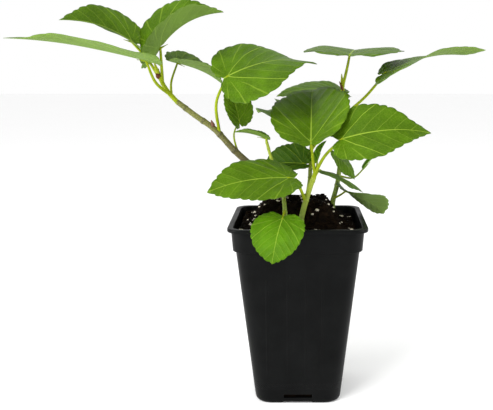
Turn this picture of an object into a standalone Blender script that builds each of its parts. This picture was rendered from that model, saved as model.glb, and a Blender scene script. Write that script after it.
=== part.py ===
"""Young potted fig: four shoots in a deep square nursery pot, modelled at real size.

Units in the tables are millimetres and degrees. +Z is up, the pot's underside is z = 0, and the
front of the pot faces -Y.
"""

import bmesh
import bpy
import numpy as np

NAME = "potted_fig"
MM = 0.001
GAP = 0.3

POT_HEIGHT = 103.7
POT_BASE_SIDE = 48.6
POT_WALL_TOP_SIDE = 67.8
POT_COLLAR_LOW_SIDE = 70.6
POT_COLLAR_HIGH_SIDE = 72.0
POT_LIP_SIDE = 76.0
POT_LIP_HEIGHT = 2.2
POT_COLLAR_HEIGHT = 11.0
POT_WALL = 1.2
POT_FLOOR = 2.6
POT_FOOT_EDGE = 1.6
POT_CORNER_BASE = 9.0
POT_CORNER_TOP = 8.0
CORNER_STEPS = 5

SLOT_WIDTH = 16.0
SLOT_LOW = 3.4
SLOT_HIGH = 5.6
ARCH_WIDTH = 17.0
ARCH_HEIGHT = 1.3
ARCH_DEPTH = 5.0

SOIL_EDGE = 100.8
SOIL_RISE = 13.5
MOUND_CENTRE = (-1.0, 3.0)
MOUND_SHARES = (0.4, 0.54, 0.66, 0.76, 0.88, 1.0)
MOUND_RISES = (1.0, 0.93, 0.5, 0.14, 0.03, 0.0)
SOIL_RINGS = (1.0, 0.88, 0.76, 0.66, 0.54, 0.4, 0.2)
SOCKET_DEPTH = 3.5
SOCKET_SIDE = 0.6

LEAF_RINGS = (0.42, 0.78, 1.0)
LEAF_SPOKES = 24
LEAF_THICK = 0.012
LEAF_THIN = 0.45
ROOT_SINK = 2.2

# Each shoot: the points of its centre line, its radius at the foot and at the tip.
SHOOTS = {
    "left_stem": dict(
        path=[(-8, 4, 110), (-20.7, 3, 127), (-36.4, 1, 142.2), (-48.5, 0, 155.3), (-57.4, 0, 161.5), (-68, 1, 169.4)],
        foot=2.2,
        tip=1.45,
        flare=1.35,
    ),
    "front_shoot": dict(
        path=[(1.2, -22, 100), (3.4, -21.6, 113), (6.6, -20.6, 123.5), (8.8, -20, 129.5)],
        foot=1.6,
        tip=1.35,
        flare=1.3,
    ),
    "right_shoot": dict(
        path=[(20.5, 18, 101.5), (23.6, 19, 120.5), (25.6, 21, 139), (26.2, 24, 157), (26.6, 28, 173)],
        foot=1.5,
        tip=1.0,
        flare=1.4,
    ),
    "front_left_shoot": dict(
        path=[(-6.6, -23, 99), (-7, -22.4, 110), (-8.4, -16, 121.2), (-12.7, -11, 132.3), (-15.5, -9, 141), (-17.3, -8, 147.6)],
        foot=1.3,
        tip=0.8,
        flare=1.2,
    ),
    "rear_shoot": dict(
        path=[(6, 14, 110), (7, 17, 122), (7.5, 20, 134)],
        foot=1.5,
        tip=1.1,
        flare=1.4,
    ),
}

# Each leaf: its base where the stalk joins, its tip, and how its blade is bent. Pairs are the
# left and right half, seen from above with the tip ahead. Widths and arch are shares of length.
LEAF = dict(
    width=(0.8, 0.8), fold=(10, 10), cup=(0.0, 0.0), arch=0.05, hook=0.03, roll=0, twist=0, heel=0.2, shoulder=0.0
)
LEAVES = {
    "left_long": dict(
        base=(-81.6, -14, 191.8),
        tip=(-151.2, -30, 204.8),
        width=(0.8, 0.45),
        fold=(6, 6),
        arch=0.02,
        hook=0.02,
        heel=0.05,
    ),
    "left_upper": dict(
        base=(-97.2, 24, 203.2), tip=(-134.6, 10, 216.1), fold=(15, 32), cup=(0, -0.6), arch=0.08, roll=-22, heel=0.1
    ),
    "left_top": dict(
        base=(-77, 4, 199),
        tip=(-41.5, 2, 219.5),
        width=(1.0, 0.8),
        fold=(22, 50),
        arch=0.12,
        roll=38,
        twist=-20,
        heel=0.75,
    ),
    "left_rear": dict(
        base=(-70.7, 22, 191), tip=(-45.5, 38, 179), fold=(20, 26), cup=(0.1, 0.25), roll=18, heel=0.5
    ),
    "middle_top": dict(
        base=(-38.8, -6, 183.5),
        tip=(11, 8, 191.6),
        width=(0.92, 0.95),
        fold=(8, -8),
        cup=(0.1, -0.5),
        arch=0.1,
        roll=30,
        twist=-36,
        heel=0.02,
        shoulder=-0.3,
    ),
    "middle_hanging": dict(
        base=(-34.2, 12, 158), tip=(-41, 12, 180), fold=(24, 24), cup=(-0.3, -0.3), roll=-42, twist=-30, heel=0.35
    ),
    "front_left_curled": dict(base=(-17.9, -8, 149.5), tip=(-35.6, -8, 153.5), width=(0.5, 0.5), fold=(30, 30)),
    "centre_large": dict(
        base=(7.1, -24, 149.1),
        tip=(8.4, 26, 176.4),
        width=(0.74, 0.8),
        fold=(24, 34),
        cup=(-0.3, -0.35),
        arch=0.01,
        roll=-4,
        heel=0.0,
        shoulder=0.2,
    ),
    "right_large": dict(
        base=(23.4, -28, 151),
        tip=(71, -27, 155),
        width=(0.73, 0.73),
        fold=(9, 9),
        cup=(-0.4, -0.1),
        arch=0.09,
        roll=47,
        heel=0.02,
        shoulder=-0.4,
    ),
    "front_young": dict(base=(10.6, -17, 138), tip=(15.5, -13, 149), width=(0.5, 0.5), fold=(35, 35), heel=0.1),
    "front_low": dict(
        base=(-4.7, -29, 130.4),
        tip=(-47.6, -38, 125.2),
        width=(0.82, 0.82),
        fold=(2, 6),
        cup=(0, -0.5),
        roll=-20,
        twist=-20,
        heel=0.15,
    ),
    "rim_leaf": dict(
        base=(-7.9, -41, 110.8),
        tip=(-13, -57.5, 90.8),
        width=(0.93, 0.98),
        fold=(5, 5),
        arch=0.09,
        roll=-7,
        heel=0.08,
        shoulder=0.6,
    ),
    "right_top": dict(
        base=(29.2, 6, 195.3),
        tip=(38, 60, 200),
        width=(0.95, 1.0),
        fold=(7, 14),
        cup=(-0.8, -0.4),
        arch=0.02,
        roll=7,
    ),
    "right_behind": dict(base=(27, 50, 173.5), tip=(-13.6, 48, 171.9), roll=-14, fold=(2, 2), arch=0.07),
    "right_far": dict(
        base=(50.3, 12, 185.6),
        tip=(103, -4, 199.5),
        fold=(-4, 2),
        cup=(0, 0.3),
        roll=22,
        twist=-34,
        heel=0.0,
        shoulder=-0.3,
    ),
    "right_inner": dict(
        base=(21, 8, 140), tip=(33.5, 8, 124.5), fold=(-6, -4), cup=(-0.2, -0.5), roll=9, twist=34, heel=0.05
    ),
    "right_narrow": dict(
        base=(12.5, -4, 131.4), tip=(38, 3, 118), width=(0.6, 0.6), fold=(-9, -11), cup=(0.4, 0.3), twist=18
    ),
    "right_low": dict(
        base=(27.6, 5.5, 117.6), tip=(53, 15.5, 106.4), arch=-0.02, hook=0.14, roll=5, twist=-45, heel=0.4, shoulder=0.8
    ),
    "right_bud_leaf": dict(base=(40, 21, 129.5), tip=(47, 22, 137), width=(0.6, 0.6), fold=(25, 25)),
    "rear_left": dict(
        base=(3, 15, 132.6), tip=(-21.5, 27, 130), fold=(27, 27), cup=(0.1, 0.3), roll=-42, twist=-12, heel=0.35
    ),
}

# Masses of foliage: the limb that carries each, the twig that grows on from the limb's tip (or
# nothing where one stalk leaves the limb's side), and the leaves with the height of each stalk's
# foot on its carrier, as a share of the way along, and one point that the stalk bends through.
MASSES = {
    "left_crown": dict(
        limb="left_stem",
        twig=[(-68.2, 1, 169.6), (-73.4, 1.6, 175.4), (-76.8, 2.6, 181), (-79.2, 4, 187.5)],
        radius=(1.4, 1.0),
        leaves={
            "left_long": (0.2, (-78, -7, 180)),
            "left_upper": (0.6, (-88, 18, 194)),
            "left_top": (0.6, (-76.6, 3.4, 190)),
            "left_rear": (0.2, (-73, 14, 181)),
        },
    ),
    "middle_top": dict(limb="left_stem", leaves={"middle_top": (0.655, (-45.2, -4, 170))}),
    "middle_hanging": dict(limb="left_stem", leaves={"middle_hanging": (0.475, (-36.8, 8, 151))}),
    "front_crown": dict(
        limb="front_shoot",
        twig=[(8.9, -20, 129.9), (9.6, -19.8, 132.4), (10.2, -19.2, 135)],
        radius=(1.35, 0.9),
        leaves={
            "centre_large": (0.25, (8.2, -21.4, 139)),
            "right_large": (0.3, (14.5, -24, 141.5)),
            "front_young": (0.9, (10.5, -18.2, 136.5)),
        },
    ),
    "front_low": dict(limb="front_shoot", leaves={"front_low": (0.55, (0, -25, 126))}),
    "front_left_crown": dict(
        limb="front_left_shoot",
        twig=[(-17.4, -8, 148), (-17.6, -8, 150.5)],
        radius=(0.8, 0.6),
        leaves={"front_left_curled": (0.5, (-17.7, -8, 149.4))},
    ),
    "rim_leaf": dict(limb="front_left_shoot", leaves={"rim_leaf": (0.2, (-7.2, -33, 113.5))}),
    "right_crown": dict(
        limb="right_shoot",
        twig=[(26.6, 28.3, 173.6), (26.8, 28.4, 178), (26.4, 28.2, 182)],
        radius=(1.0, 0.7),
        leaves={
            "right_top": (0.5, (28.4, 16, 188)),
            "right_behind": (0.15, (26.8, 40, 174)),
        },
    ),
    "right_far": dict(limb="right_shoot", leaves={"right_far": (0.8, (40, 20, 172))}),
    "right_inner": dict(limb="right_shoot", leaves={"right_inner": (0.5, (23.4, 13, 139.6))}),
    "right_narrow": dict(limb="front_shoot", leaves={"right_narrow": (0.93, (10.6, -12, 130.5))}),
    "right_low": dict(limb="right_shoot", leaves={"right_low": (0.1, (25, 11.5, 114.5))}),
    "right_bud_leaf": dict(limb="right_shoot", leaves={"right_bud_leaf": (0.3, (33, 20, 123.5))}),
    "rear_crown": dict(
        limb="rear_shoot",
        twig=[(7.5, 20.1, 134.5), (7.8, 22, 142), (8, 24, 150), (8, 26, 156)],
        radius=(1.1, 0.7),
        leaves={"rear_left": (0.05, (6, 17, 134.6))},
        grown=5,
    ),
}
STALK = (0.95, 0.62)

# The rear crown's own leaves turn round the twig by the golden angle, inside its rear half.
GROWTH_SEED = 7
GOLDEN_ANGLE = 137.5
REAR_MIDDLE = 105.0
REAR_SPREAD = 45.0
GROWN_LENGTH = (30.0, 40.0)
GROWN_STALK = (16.0, 26.0)
GROWN_DROOP = (-4.0, 8.0)

# The blade's outline: its reach from the stalk, as shares of its length, at these angles.
OUTLINE_ANGLES = np.radians((0, 12, 28, 48, 72, 100, 128, 155, 180))

COLOURS = {
    "pot": (0.012, 0.013, 0.015, 1),
    "soil": (0.018, 0.012, 0.009, 1),
    "bark": (0.10, 0.085, 0.03, 1),
    "shoot": (0.33, 0.42, 0.06, 1),
    "leaf": (0.07, 0.20, 0.015, 1),
}


def unit(vector):
    return vector / np.linalg.norm(vector)


def turned(vector, axis, degrees):
    """The vector turned about the axis by Rodrigues' formula."""
    angle = np.radians(degrees)
    along = axis * (axis @ vector) * (1 - np.cos(angle))
    return vector * np.cos(angle) + np.cross(axis, vector) * np.sin(angle) + along


def smooth(knots, values, at):
    """Cubic curve through the values at the knots, each slope taken from its neighbours."""
    knots = np.asarray(knots, float)
    values = np.asarray(values, float)
    slopes = np.gradient(values, knots)
    i = np.clip(np.searchsorted(knots, at, side="right") - 1, 0, len(knots) - 2)
    step = knots[i + 1] - knots[i]
    t = (at - knots[i]) / step
    ends = values[i] * (1 + 2 * t) * (1 - t) ** 2 + values[i + 1] * t * t * (3 - 2 * t)
    return ends + step * (slopes[i] * t * (1 - t) ** 2 - slopes[i + 1] * t * t * (1 - t))


def smooth_path(points, count):
    """Evenly numbered points on the smooth curve through the given ones."""
    points = np.asarray(points, float)
    reach = np.r_[0, np.cumsum(np.linalg.norm(np.diff(points, axis=0), axis=1))]
    at = np.linspace(0, reach[-1], count)
    return np.stack([smooth(reach, points[:, i], at) for i in range(3)], axis=1)


def material(kind, roughness):
    """A plain Principled material in the piece's colour."""
    made = bpy.data.materials.get(kind) or bpy.data.materials.new(kind)
    made.use_nodes = True
    shader = made.node_tree.nodes["Principled BSDF"]
    shader.inputs["Base Color"].default_value = COLOURS[kind]
    shader.inputs["Roughness"].default_value = roughness
    made.diffuse_color = COLOURS[kind]
    return made


def collection(name):
    made = bpy.data.collections.new(name)
    bpy.context.scene.collection.children.link(made)
    return made


def mesh_object(name, points, faces, home):
    """An object from points in millimetres."""
    mesh = bpy.data.meshes.new(name)
    mesh.from_pydata((np.asarray(points) * MM).tolist(), [], faces)
    mesh.validate()
    made = bpy.data.objects.new(name, mesh)
    home.objects.link(made)
    return made


def evaluated_copy(source, name, home):
    """A plain mesh object from an object with modifiers or a curve, which is then removed."""
    graph = bpy.context.evaluated_depsgraph_get()
    mesh = bpy.data.meshes.new_from_object(source.evaluated_get(graph))
    work = bmesh.new()
    work.from_mesh(mesh)
    bmesh.ops.remove_doubles(work, verts=work.verts, dist=0.002 * MM)
    bmesh.ops.recalc_face_normals(work, faces=work.faces)
    work.to_mesh(mesh)
    work.free()
    made = bpy.data.objects.new(name, mesh)
    made.matrix_world = source.matrix_world
    home.objects.link(made)
    bpy.data.objects.remove(source)
    return made


def rounded_square(side, corner, height):
    """One ring of points: a square of that side whose corners are arcs of that radius."""
    turn = np.linspace(0, np.pi / 2, CORNER_STEPS + 1)
    inset = side / 2 - corner
    ring = []
    for quarter, (sx, sy) in enumerate(((1, 1), (-1, 1), (-1, -1), (1, -1))):
        angle = turn + quarter * np.pi / 2
        x = sx * inset + corner * np.cos(angle)
        y = sy * inset + corner * np.sin(angle)
        ring.append(np.stack([x, y, np.full_like(x, height)], axis=1))
    return np.concatenate(ring)


def loft(name, rings, home):
    """A closed solid through the rings, in order, with its first and last ring capped."""
    count = len(rings[0])
    points = np.concatenate(rings)
    faces = [tuple(reversed(range(count)))]
    for level in range(len(rings) - 1):
        low = level * count
        for i in range(count):
            j = (i + 1) % count
            faces.append((low + i, low + j, low + count + j, low + count + i))
    last = (len(rings) - 1) * count
    faces.append(tuple(range(last, last + count)))
    return mesh_object(name, points, faces, home)


def pot_corner(height):
    share = height / POT_HEIGHT
    return POT_CORNER_BASE + (POT_CORNER_TOP - POT_CORNER_BASE) * share


def wall_side(height):
    """The tapering wall's outer side at that height."""
    top = POT_HEIGHT - POT_LIP_HEIGHT - POT_COLLAR_HEIGHT
    return POT_BASE_SIDE + (POT_WALL_TOP_SIDE - POT_BASE_SIDE) * min(height / top, 1)


def box(name, low, high, home):
    """A box between two corners, from the cube primitive."""
    bpy.ops.mesh.primitive_cube_add(size=MM)
    made = bpy.context.object
    made.name = name
    made.scale = np.subtract(high, low)
    made.location = np.add(high, low) / 2 * MM
    for old in list(made.users_collection):
        old.objects.unlink(made)
    home.objects.link(made)
    made.hide_render = True
    made.display_type = "WIRE"
    return made


def cut(target, cutters):
    """Takes every object of the collection away from the target."""
    made = target.modifiers.new("cut", "BOOLEAN")
    made.operation = "DIFFERENCE"
    made.operand_type = "COLLECTION"
    made.collection = cutters
    made.solver = "EXACT"


def cutter_set(name):
    made = collection(name)
    made.hide_render = True
    return made


def make_pot(home):
    """Lip, collar, step and tapering wall outside, then the same wall inside down to the floor."""
    lip_low = POT_HEIGHT - POT_LIP_HEIGHT
    step = lip_low - POT_COLLAR_HEIGHT
    outside = [
        (0, POT_BASE_SIDE - 2 * POT_FOOT_EDGE),
        (POT_FOOT_EDGE, wall_side(POT_FOOT_EDGE)),
        (step, POT_WALL_TOP_SIDE),
        (step + 0.6, POT_COLLAR_LOW_SIDE),
        (lip_low, POT_COLLAR_HIGH_SIDE),
        (lip_low + 0.3, POT_LIP_SIDE),
        (POT_HEIGHT - 0.5, POT_LIP_SIDE),
        (POT_HEIGHT, POT_LIP_SIDE - 1.0),
    ]
    inside = [
        (POT_HEIGHT, POT_COLLAR_HIGH_SIDE - 2 * POT_WALL),
        (step + 0.6, POT_COLLAR_LOW_SIDE - 2 * POT_WALL),
        (step, POT_WALL_TOP_SIDE - 2 * POT_WALL),
        (POT_FLOOR, wall_side(POT_FLOOR) - 2 * POT_WALL),
    ]
    rings = [rounded_square(side, pot_corner(z), z) for z, side in outside]
    rings += [rounded_square(side, pot_corner(z) - POT_WALL, z) for z, side in inside]
    pot = loft("pot", rings, home)
    cutters = cutter_set("pot_cutters")
    half = POT_BASE_SIDE / 2
    for i, (x, y) in enumerate(((0, -1), (1, 0), (0, 1), (-1, 0))):
        for kind, width, reach, low, high in (
            ("slot", SLOT_WIDTH, 4.0, SLOT_LOW, SLOT_HIGH),
            ("arch", ARCH_WIDTH, ARCH_DEPTH, -1.0, ARCH_HEIGHT),
        ):
            spread = np.array([width / 2 if x == 0 else 0, width / 2 if y == 0 else 0])
            ends = np.array([(half - reach) * np.array([x, y]), (half + 3) * np.array([x, y])])
            box(
                f"{kind}_cutter_{i}",
                (*(ends.min(axis=0) - spread), low),
                (*(ends.max(axis=0) + spread), high),
                cutters,
            )
    cut(pot, cutters)
    pot.data.materials.append(material("pot", 0.4))


def soil_height(x, y):
    """Level soil at the wall rising to the planted plug's flat top."""
    half = POT_WALL_TOP_SIDE / 2 - POT_WALL
    share = max(abs(x - MOUND_CENTRE[0]), abs(y - MOUND_CENTRE[1])) / half
    return SOIL_EDGE + SOIL_RISE * float(np.interp(share, MOUND_SHARES, MOUND_RISES))


def make_soil(home):
    """The potting mix fills the pot to just under its lip, with a raised plug in the middle."""
    step = POT_HEIGHT - POT_LIP_HEIGHT - POT_COLLAR_HEIGHT
    low = POT_FLOOR + GAP
    clear = 2 * (POT_WALL + GAP)
    rings = [rounded_square(wall_side(low) - clear, pot_corner(low) - POT_WALL, low)]
    rings.append(rounded_square(POT_WALL_TOP_SIDE - clear, pot_corner(step) - POT_WALL, step))
    side = POT_WALL_TOP_SIDE - clear
    for share in SOIL_RINGS:
        rise = SOIL_RISE * float(np.interp(share, MOUND_SHARES, MOUND_RISES))
        ring = rounded_square(side * share, 6.5 * share, SOIL_EDGE + rise)
        ring[:, :2] += np.array(MOUND_CENTRE) * (1 - share)
        rings.append(ring)
    soil = loft("soil", rings, home)
    cutters = cutter_set("soil_cutters")
    for name, shoot in SHOOTS.items():
        x, y, _ = shoot["path"][0]
        foot = foot_height(shoot)
        depth = 30.0
        bpy.ops.mesh.primitive_cylinder_add(
            vertices=16,
            radius=(shoot["foot"] * shoot["flare"] + SOCKET_SIDE) * MM,
            depth=depth * MM,
            location=(x * MM, y * MM, (foot - GAP + depth / 2) * MM),
        )
        made = bpy.context.object
        made.name = name + "_cutter"
        for old in list(made.users_collection):
            old.objects.unlink(made)
        cutters.objects.link(made)
        made.hide_render = True
        made.display_type = "WIRE"
    cut(soil, cutters)
    soil.data.materials.append(material("soil", 0.95))


def foot_height(shoot):
    x, y, _ = shoot["path"][0]
    return soil_height(x, y) - SOCKET_DEPTH


def tube(name, points, radii, home, resolution=2):
    """A tube with filled caps along the points, as a welded mesh."""
    curve = bpy.data.curves.new(name, "CURVE")
    curve.dimensions = "3D"
    curve.bevel_depth = MM
    curve.bevel_resolution = resolution
    curve.use_fill_caps = True
    spline = curve.splines.new("POLY")
    spline.points.add(len(points) - 1)
    for knot, place, radius in zip(spline.points, points, radii):
        knot.co = (*(np.asarray(place) * MM), 1)
        knot.radius = radius
    guide = bpy.data.objects.new(name + "_line", curve)
    home.objects.link(guide)
    bpy.context.view_layer.update()
    return evaluated_copy(guide, name, home)


def shoot_line(shoot, count):
    """The shoot's centre line: it leaves its flat foot upright, then follows its path."""
    x, y, _ = shoot["path"][0]
    foot = foot_height(shoot)
    path = [(x, y, foot), (x, y, foot + 2.2)] + shoot["path"][1:]
    return smooth_path(path, count)


def shoot_radii(shoot, count):
    """Even taper from foot to tip, with the root flare over the first tenth."""
    share = np.linspace(0, 1, count)
    plain = shoot["foot"] + (shoot["tip"] - shoot["foot"]) * share
    return plain * (1 + (shoot["flare"] - 1) * np.exp(-share / 0.05))


def make_shoot(name, shoot, home):
    count = 20
    made = tube(name, shoot_line(shoot, count), shoot_radii(shoot, count), home)
    made.data.materials.append(material("bark" if name == "left_stem" else "shoot", 0.6))
    for face in made.data.polygons:
        face.use_smooth = len(face.vertices) == 4


def outline(leaf, angle):
    """The blade's reach at each angle from its midrib, as a share of its length."""
    heel = leaf["heel"]
    full = leaf["shoulder"]
    reach = (
        1.0,
        0.88 + 0.1 * full,
        0.78 + 0.12 * full,
        0.69 + 0.06 * full,
        0.57,
        0.36 + 0.17 * heel,
        0.17 + 0.29 * heel,
        0.07 + 0.29 * heel,
        0.03 + 0.07 * heel,
    )
    return smooth(OUTLINE_ANGLES, reach, np.abs(angle))


def bend(leaf, x, y):
    """Places flat blade points: an arched midrib, halves folded up from it and cupped, and a twist."""
    base = np.array(leaf["base"], float)
    axis = np.array(leaf["tip"], float) - base
    length = np.linalg.norm(axis)
    axis /= length
    up = turned(unit(np.array([0, 0, 1.0]) - axis * axis[2]), axis, leaf["roll"])
    side = np.cross(axis, up)
    share = y / length
    far = np.maximum(share - 0.45, 0) / 0.55
    lift = 4 * leaf["arch"] * share * (1 - share) - leaf["hook"] * far**2
    centre = base + np.outer(y, axis) + np.outer(lift * length, up)
    slope = 4 * leaf["arch"] * (1 - 2 * share) - leaf["hook"] * 2 * far / 0.55
    normal = up - np.outer(slope, axis)
    normal /= np.linalg.norm(normal, axis=1)[:, None]
    twist = np.radians(leaf["twist"] * share)[:, None]
    across = side * np.cos(twist) - normal * np.sin(twist)
    normal = normal * np.cos(twist) + side * np.sin(twist)
    fold = np.radians(np.where(x >= 0, leaf["fold"][1], leaf["fold"][0]))
    cup = np.where(x >= 0, leaf["cup"][1], leaf["cup"][0]) + 1e-6
    turn = fold + cup * np.abs(x) / length
    out = length / cup * (np.sin(turn) - np.sin(fold)) * np.sign(x)
    rise = length / cup * (np.cos(fold) - np.cos(turn))
    return centre + across * out[:, None] + normal * rise[:, None]


def blade(name, leaf, home):
    """The blade as a disc of rings round the stalk's end, thickened both ways."""
    angle = np.linspace(-np.pi, np.pi, LEAF_SPOKES, endpoint=False)
    length = np.linalg.norm(np.subtract(leaf["tip"], leaf["base"]))
    reach = outline(leaf, angle) * length
    width = np.where(angle >= 0, leaf["width"][1], leaf["width"][0])
    ring = np.array(LEAF_RINGS)[:, None]
    x = (ring * reach * np.sin(angle) * width).ravel()
    y = (ring * reach * np.cos(angle)).ravel()
    points = bend(leaf, np.r_[0, x], np.r_[0, y])
    faces = []
    for i in range(LEAF_SPOKES):
        j = (i + 1) % LEAF_SPOKES
        faces.append((0, 1 + j, 1 + i))
        for level in range(len(LEAF_RINGS) - 1):
            low = 1 + level * LEAF_SPOKES
            faces.append((low + i, low + j, low + LEAF_SPOKES + j, low + LEAF_SPOKES + i))
    flat = mesh_object(name + "_flat", points, faces, home)
    thick = flat.modifiers.new("thick", "SOLIDIFY")
    thick.thickness = max(LEAF_THICK * length, LEAF_THIN) * MM
    thick.offset = 0
    bpy.context.view_layer.update()
    return evaluated_copy(flat, name, home)


def stalk_points(leaf, foot, bend_point):
    """From its foot through one point to the blade's base, and on into the blade."""
    axis = unit(np.subtract(leaf["tip"], leaf["base"]))
    line = smooth_path([foot, bend_point, leaf["base"]], 6)
    return np.vstack([line, np.array(leaf["base"]) + axis * ROOT_SINK])


def grown_leaves(twig, count):
    """Leaves dealt round the rear half of the twig by the golden angle, with a seeded spread."""
    rng = np.random.default_rng(GROWTH_SEED)
    made = {}
    for i in range(count):
        share = 0.25 + 0.75 * i / (count - 1)
        turn = ((i * GOLDEN_ANGLE) % 360) / 360 * 2 - 1
        heading = np.radians(REAR_MIDDLE + REAR_SPREAD * turn)
        away = np.array([np.cos(heading), np.sin(heading), 0])
        length = rng.uniform(*GROWN_LENGTH)
        stalk = rng.uniform(*GROWN_STALK)
        foot = smooth_path(twig, 21)[int(share * 20)]
        base = foot + away * stalk + np.array([0, 0, 0.35 * stalk])
        tip = base + away * length + np.array([0, 0, rng.uniform(*GROWN_DROOP)])
        via = (foot + base) / 2 + np.array([0, 0, 0.08 * stalk])
        leaf = dict(LEAF, base=base, tip=tip, arch=0.08, hook=0.06)
        made[f"rear_{i + 1}"] = (leaf, share, via)
    return made


def keep_largest(made):
    """Drops every loose scrap and sealed hollow that the union left, keeping the one main shell."""
    work = bmesh.new()
    work.from_mesh(made.data)
    left = set(work.verts)
    shells = []
    while left:
        shell = set()
        front = [left.pop()]
        while front:
            vert = front.pop()
            shell.add(vert)
            near = {edge.other_vert(vert) for edge in vert.link_edges} & left
            left -= near
            front.extend(near)
        shells.append(shell)
    shells.sort(key=len)
    bmesh.ops.delete(work, geom=[vert for shell in shells[:-1] for vert in shell])
    work.to_mesh(made.data)
    work.free()


def side_foot(line, radii, share, towards):
    """The point just clear of the limb's side, on the way to the stalk's bend."""
    i = int(round(share * (len(line) - 1)))
    out = unit(np.asarray(towards) - line[i])
    along = unit(line[min(i + 1, len(line) - 1)] - line[max(i - 1, 0)])
    square = unit(out - along * (out @ along))
    return line[i] + square * (radii[i] + GAP + STALK[0] * abs(out @ along) + 0.1)


def make_mass(name, mass, home):
    """Twig, stalks and blades of one mass, joined into one solid."""
    parts = collection(name + "_parts")
    limb = SHOOTS[mass["limb"]]
    leaves = {key: (dict(LEAF, **LEAVES[key]), *at) for key, at in mass["leaves"].items()}
    if "twig" in mass:
        line = smooth_path(mass["twig"], 21)
        radii = np.linspace(*mass["radius"], 21)
        tube(name + "_twig", line[::4], radii[::4], parts, 1)
        leaves.update(grown_leaves(mass["twig"], mass["grown"]) if "grown" in mass else {})
    else:
        line = shoot_line(limb, 61)
        radii = shoot_radii(limb, 61)
    for key, (leaf, share, via) in leaves.items():
        if "twig" in mass:
            foot = line[int(round(share * 20))]
        else:
            foot = side_foot(line, radii, share, via)
        points = stalk_points(leaf, foot, via)
        tube(key + "_stalk", points, np.linspace(*STALK, len(points)), parts, 1)
        blade(key + "_blade", leaf, parts)
    pieces = list(parts.objects)
    first = pieces[0]
    parts.objects.unlink(first)
    home.objects.link(first)
    join = first.modifiers.new("join", "BOOLEAN")
    join.operation = "UNION"
    join.operand_type = "COLLECTION"
    join.collection = parts
    join.solver = "MANIFOLD"
    bpy.context.view_layer.update()
    made = evaluated_copy(first, name, home)
    for piece in list(parts.objects):
        bpy.data.objects.remove(piece)
    bpy.data.collections.remove(parts)
    keep_largest(made)
    made.data.materials.clear()
    made.data.materials.append(material("leaf", 0.45))


def main():
    for old in list(bpy.data.objects):
        bpy.data.objects.remove(old)
    home = collection(NAME)
    make_pot(home)
    make_soil(home)
    for name, shoot in SHOOTS.items():
        make_shoot(name, shoot, home)
    for name, mass in MASSES.items():
        make_mass(name, mass, home)


main()
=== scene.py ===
"""Young potted fig: the look of the pot, the potting mix, the shoots and the toothed leaves.

Every surface is a grid of points worked out from two parameters and closed at both ends. Lengths in
the tables are millimetres and angles are degrees. +Z is up and the front of the pot faces -Y.
"""

import bpy
import numpy as np
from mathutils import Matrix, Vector


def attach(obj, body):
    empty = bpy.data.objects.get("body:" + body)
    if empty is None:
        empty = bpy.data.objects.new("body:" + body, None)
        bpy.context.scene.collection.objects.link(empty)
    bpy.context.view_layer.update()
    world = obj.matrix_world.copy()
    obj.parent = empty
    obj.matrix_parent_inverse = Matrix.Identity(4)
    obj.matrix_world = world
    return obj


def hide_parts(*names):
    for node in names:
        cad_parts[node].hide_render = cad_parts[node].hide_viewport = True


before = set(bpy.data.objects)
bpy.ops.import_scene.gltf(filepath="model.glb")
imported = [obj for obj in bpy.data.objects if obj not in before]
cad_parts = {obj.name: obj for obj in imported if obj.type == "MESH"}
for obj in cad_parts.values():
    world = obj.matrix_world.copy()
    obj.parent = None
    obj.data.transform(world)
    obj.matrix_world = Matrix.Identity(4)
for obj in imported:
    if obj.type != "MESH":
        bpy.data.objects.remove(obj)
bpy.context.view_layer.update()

MM = 0.001
GAP = 0.3

POT_HEIGHT = 103.7
POT_BASE_SIDE = 48.6
POT_WALL_TOP_SIDE = 67.8
POT_COLLAR_LOW_SIDE = 70.6
POT_COLLAR_HIGH_SIDE = 72.0
POT_LIP_SIDE = 76.0
POT_LIP_HEIGHT = 2.2
POT_COLLAR_HEIGHT = 11.0
POT_WALL = 1.2
POT_FLOOR = 2.6
POT_FOOT_EDGE = 1.6
POT_CORNER_BASE = 9.0
POT_CORNER_TOP = 8.0
SLOT_WIDTH = 16.0
SLOT_LOW = 3.4
SLOT_HIGH = 5.6
ARCH_WIDTH = 17.0
ARCH_HEIGHT = 1.3
ARCH_DEPTH = 5.0
RIBS = (-17.0, -5.5, 4.5, 13.5)
BAND_PITCH = 4200.0

SOIL_EDGE = 100.8
SOIL_RISE = 13.5
MOUND_CENTRE = (-1.0, 3.0)
MOUND_SHARES = (0.4, 0.54, 0.66, 0.76, 0.88, 1.0)
MOUND_RISES = (1.0, 0.93, 0.5, 0.14, 0.03, 0.0)
SOCKET_DEPTH = 3.5
CRUMBS = 2600
PERLITE = 70

# The camera and the soft lights, in metres: each light's place, aim, size and power.
SENSOR_WIDTH = 36
LENS = 54.04
SHIFT_X = -0.1085
CAMERA_PLACE = (0.0012, -0.4195, 0.186)
CAMERA_TILT = 79.8
FLOOR_SIZE = 12
LIGHTS = {
    "key": ((-0.5, -0.7, 0.9), (0, 0, 0.12), 0.5, 9.0),
    "left": ((-0.55, -0.25, 0.15), (0, 0, 0.08), 0.25, 2.0),
    "right": ((0.6, -0.2, 0.2), (0, 0, 0.08), 0.25, 2.0),
}

# Veins, as shares of a leaf's length: spacing and slope of the side veins, turn between the low ones.
VEIN_STEP = 0.19
VEIN_SLOPE = 0.95
LOW_VEIN_TURN = 0.42
NET_SCALE = 34.0
STREAK_STRETCH = (60.0, 9.0, 1.0)

LEAF_SHEET = 0.3
SHOOT_ROWS = 260
SHOOT_SIDES = 48
BLADE_RINGS = 15
BLADE_SPOKES = 216
TEETH = 26
TOOTH_DEPTH = 1.15

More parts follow.
